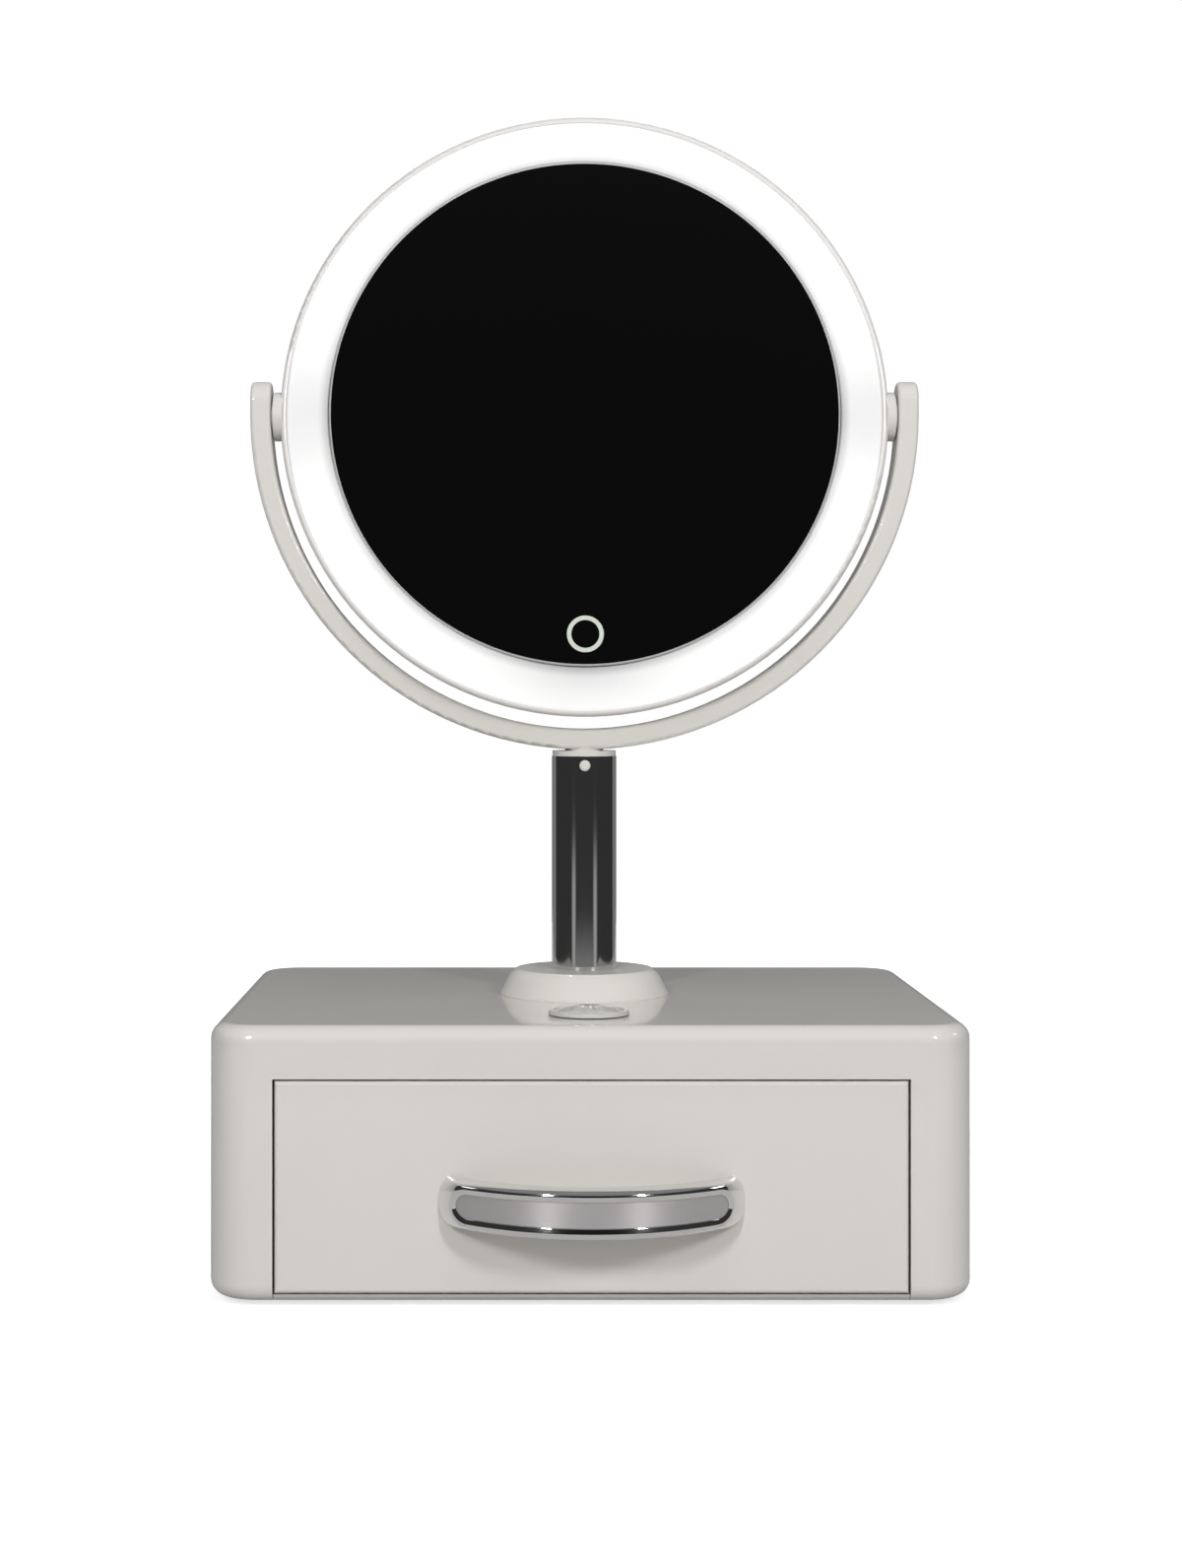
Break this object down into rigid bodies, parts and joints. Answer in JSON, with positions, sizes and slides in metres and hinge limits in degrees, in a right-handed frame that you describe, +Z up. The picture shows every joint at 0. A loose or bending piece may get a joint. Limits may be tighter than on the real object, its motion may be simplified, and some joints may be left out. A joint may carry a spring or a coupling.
{
  "type": "vanity mirror with drawer",
  "caption": "Round lit make-up mirror that tilts in a half-ring yoke on a chrome post, standing on a rounded gloss box with a pull-out drawer.",
  "frame": {"origin": "centre of the box's footprint on the resting plane, on the post's axis", "axes": "+Z up; +X to the right seen from the front; the drawer opens and the mirror faces towards -Y"},
  "size_m": [0.285, 0.2405, 0.4647],
  "materials": {
    "ivory_lacquer": "high-gloss ivory lacquer",
    "white_plastic": "matte white plastic",
    "rubber_black": "matte black rubber",
    "chrome": "polished chrome",
    "satin_grey": "satin, warm grey",
    "steel": "zinc-plated",
    "felt_grey": "flocked felt",
    "opal_light": "opal acrylic, lit from behind",
    "mirror_silver": "silvered float glass",
    "copper": "bare copper",
    "strip_white": "white solder mask",
    "led_yellow": "phosphor resin",
    "board_green": "green solder mask",
    "part_black": "moulded black plastic",
    "lead_red": "insulated lead",
    "cell_blue": "plain printed sleeve"
  },
  "bodies": {
    "stand": {"cabinet": "ivory_lacquer", "base_panel": "ivory_lacquer", "base_screws": "steel", "feet": "rubber_black", "drawer_glides": "white_plastic", "drawer_stop": "ivory_lacquer", "rear_bumpers": "rubber_black", "collar": "ivory_lacquer", "medallion": "chrome", "post_tube": "chrome", "post_plug": "steel", "stiffener_plate": "steel", "post_washer": "steel", "post_bolt": "steel", "yoke": "ivory_lacquer", "button_spring": "steel"},
    "drawer": {"drawer_front": "ivory_lacquer", "drawer_side_left": "ivory_lacquer", "drawer_side_right": "ivory_lacquer", "drawer_back": "ivory_lacquer", "drawer_bottom": "white_plastic", "drawer_liner": "felt_grey", "handle_bow": "chrome", "handle_inlay": "satin_grey", "handle_screws": "steel"},
    "mirror_head": {"head_ring": "ivory_lacquer", "diffuser": "opal_light", "mirror_glass": "mirror_silver", "touch_ring": "opal_light", "touch_sensor": "copper", "carrier_plate": "white_plastic", "reflector": "white_plastic", "led_strip": "strip_white", "leds": "led_yellow", "control_board": "board_green", "board_parts": "part_black", "board_screws": "steel", "battery_leads": "lead_red", "battery_holder": "part_black", "battery_contacts": "steel", "batteries": "cell_blue", "rear_cover": "ivory_lacquer", "rear_screws": "steel", "pivot_pins": "steel", "friction_washers": "white_plastic"},
    "snap_button": {"snap_button": "ivory_lacquer"},
    "battery_door": {"battery_door": "ivory_lacquer"}
  },
  "joints": [
    {"name": "drawer_slide", "type": "slide", "parent": "stand", "child": "drawer", "axis": [0, -1, 0], "range_m": [0, 0.15]},
    {"name": "mirror_tilt", "type": "hinge", "parent": "stand", "child": "mirror_head", "pos_m": [0, 0, 0.3407], "axis": [1, 0, 0], "continuous": true},
    {"name": "button_press", "type": "slide", "parent": "stand", "child": "snap_button", "axis": [0, 1, 0], "range_m": [0, 0.0025], "stiffness_N_per_m": 1500, "springref_m": -0.001, "deforming": ["button_spring"]},
    {"name": "battery_door_lift", "type": "slide", "parent": "mirror_head", "child": "battery_door", "axis": [0, 0.9954, -0.0958], "range_m": [0, 0.03]}
  ]
}
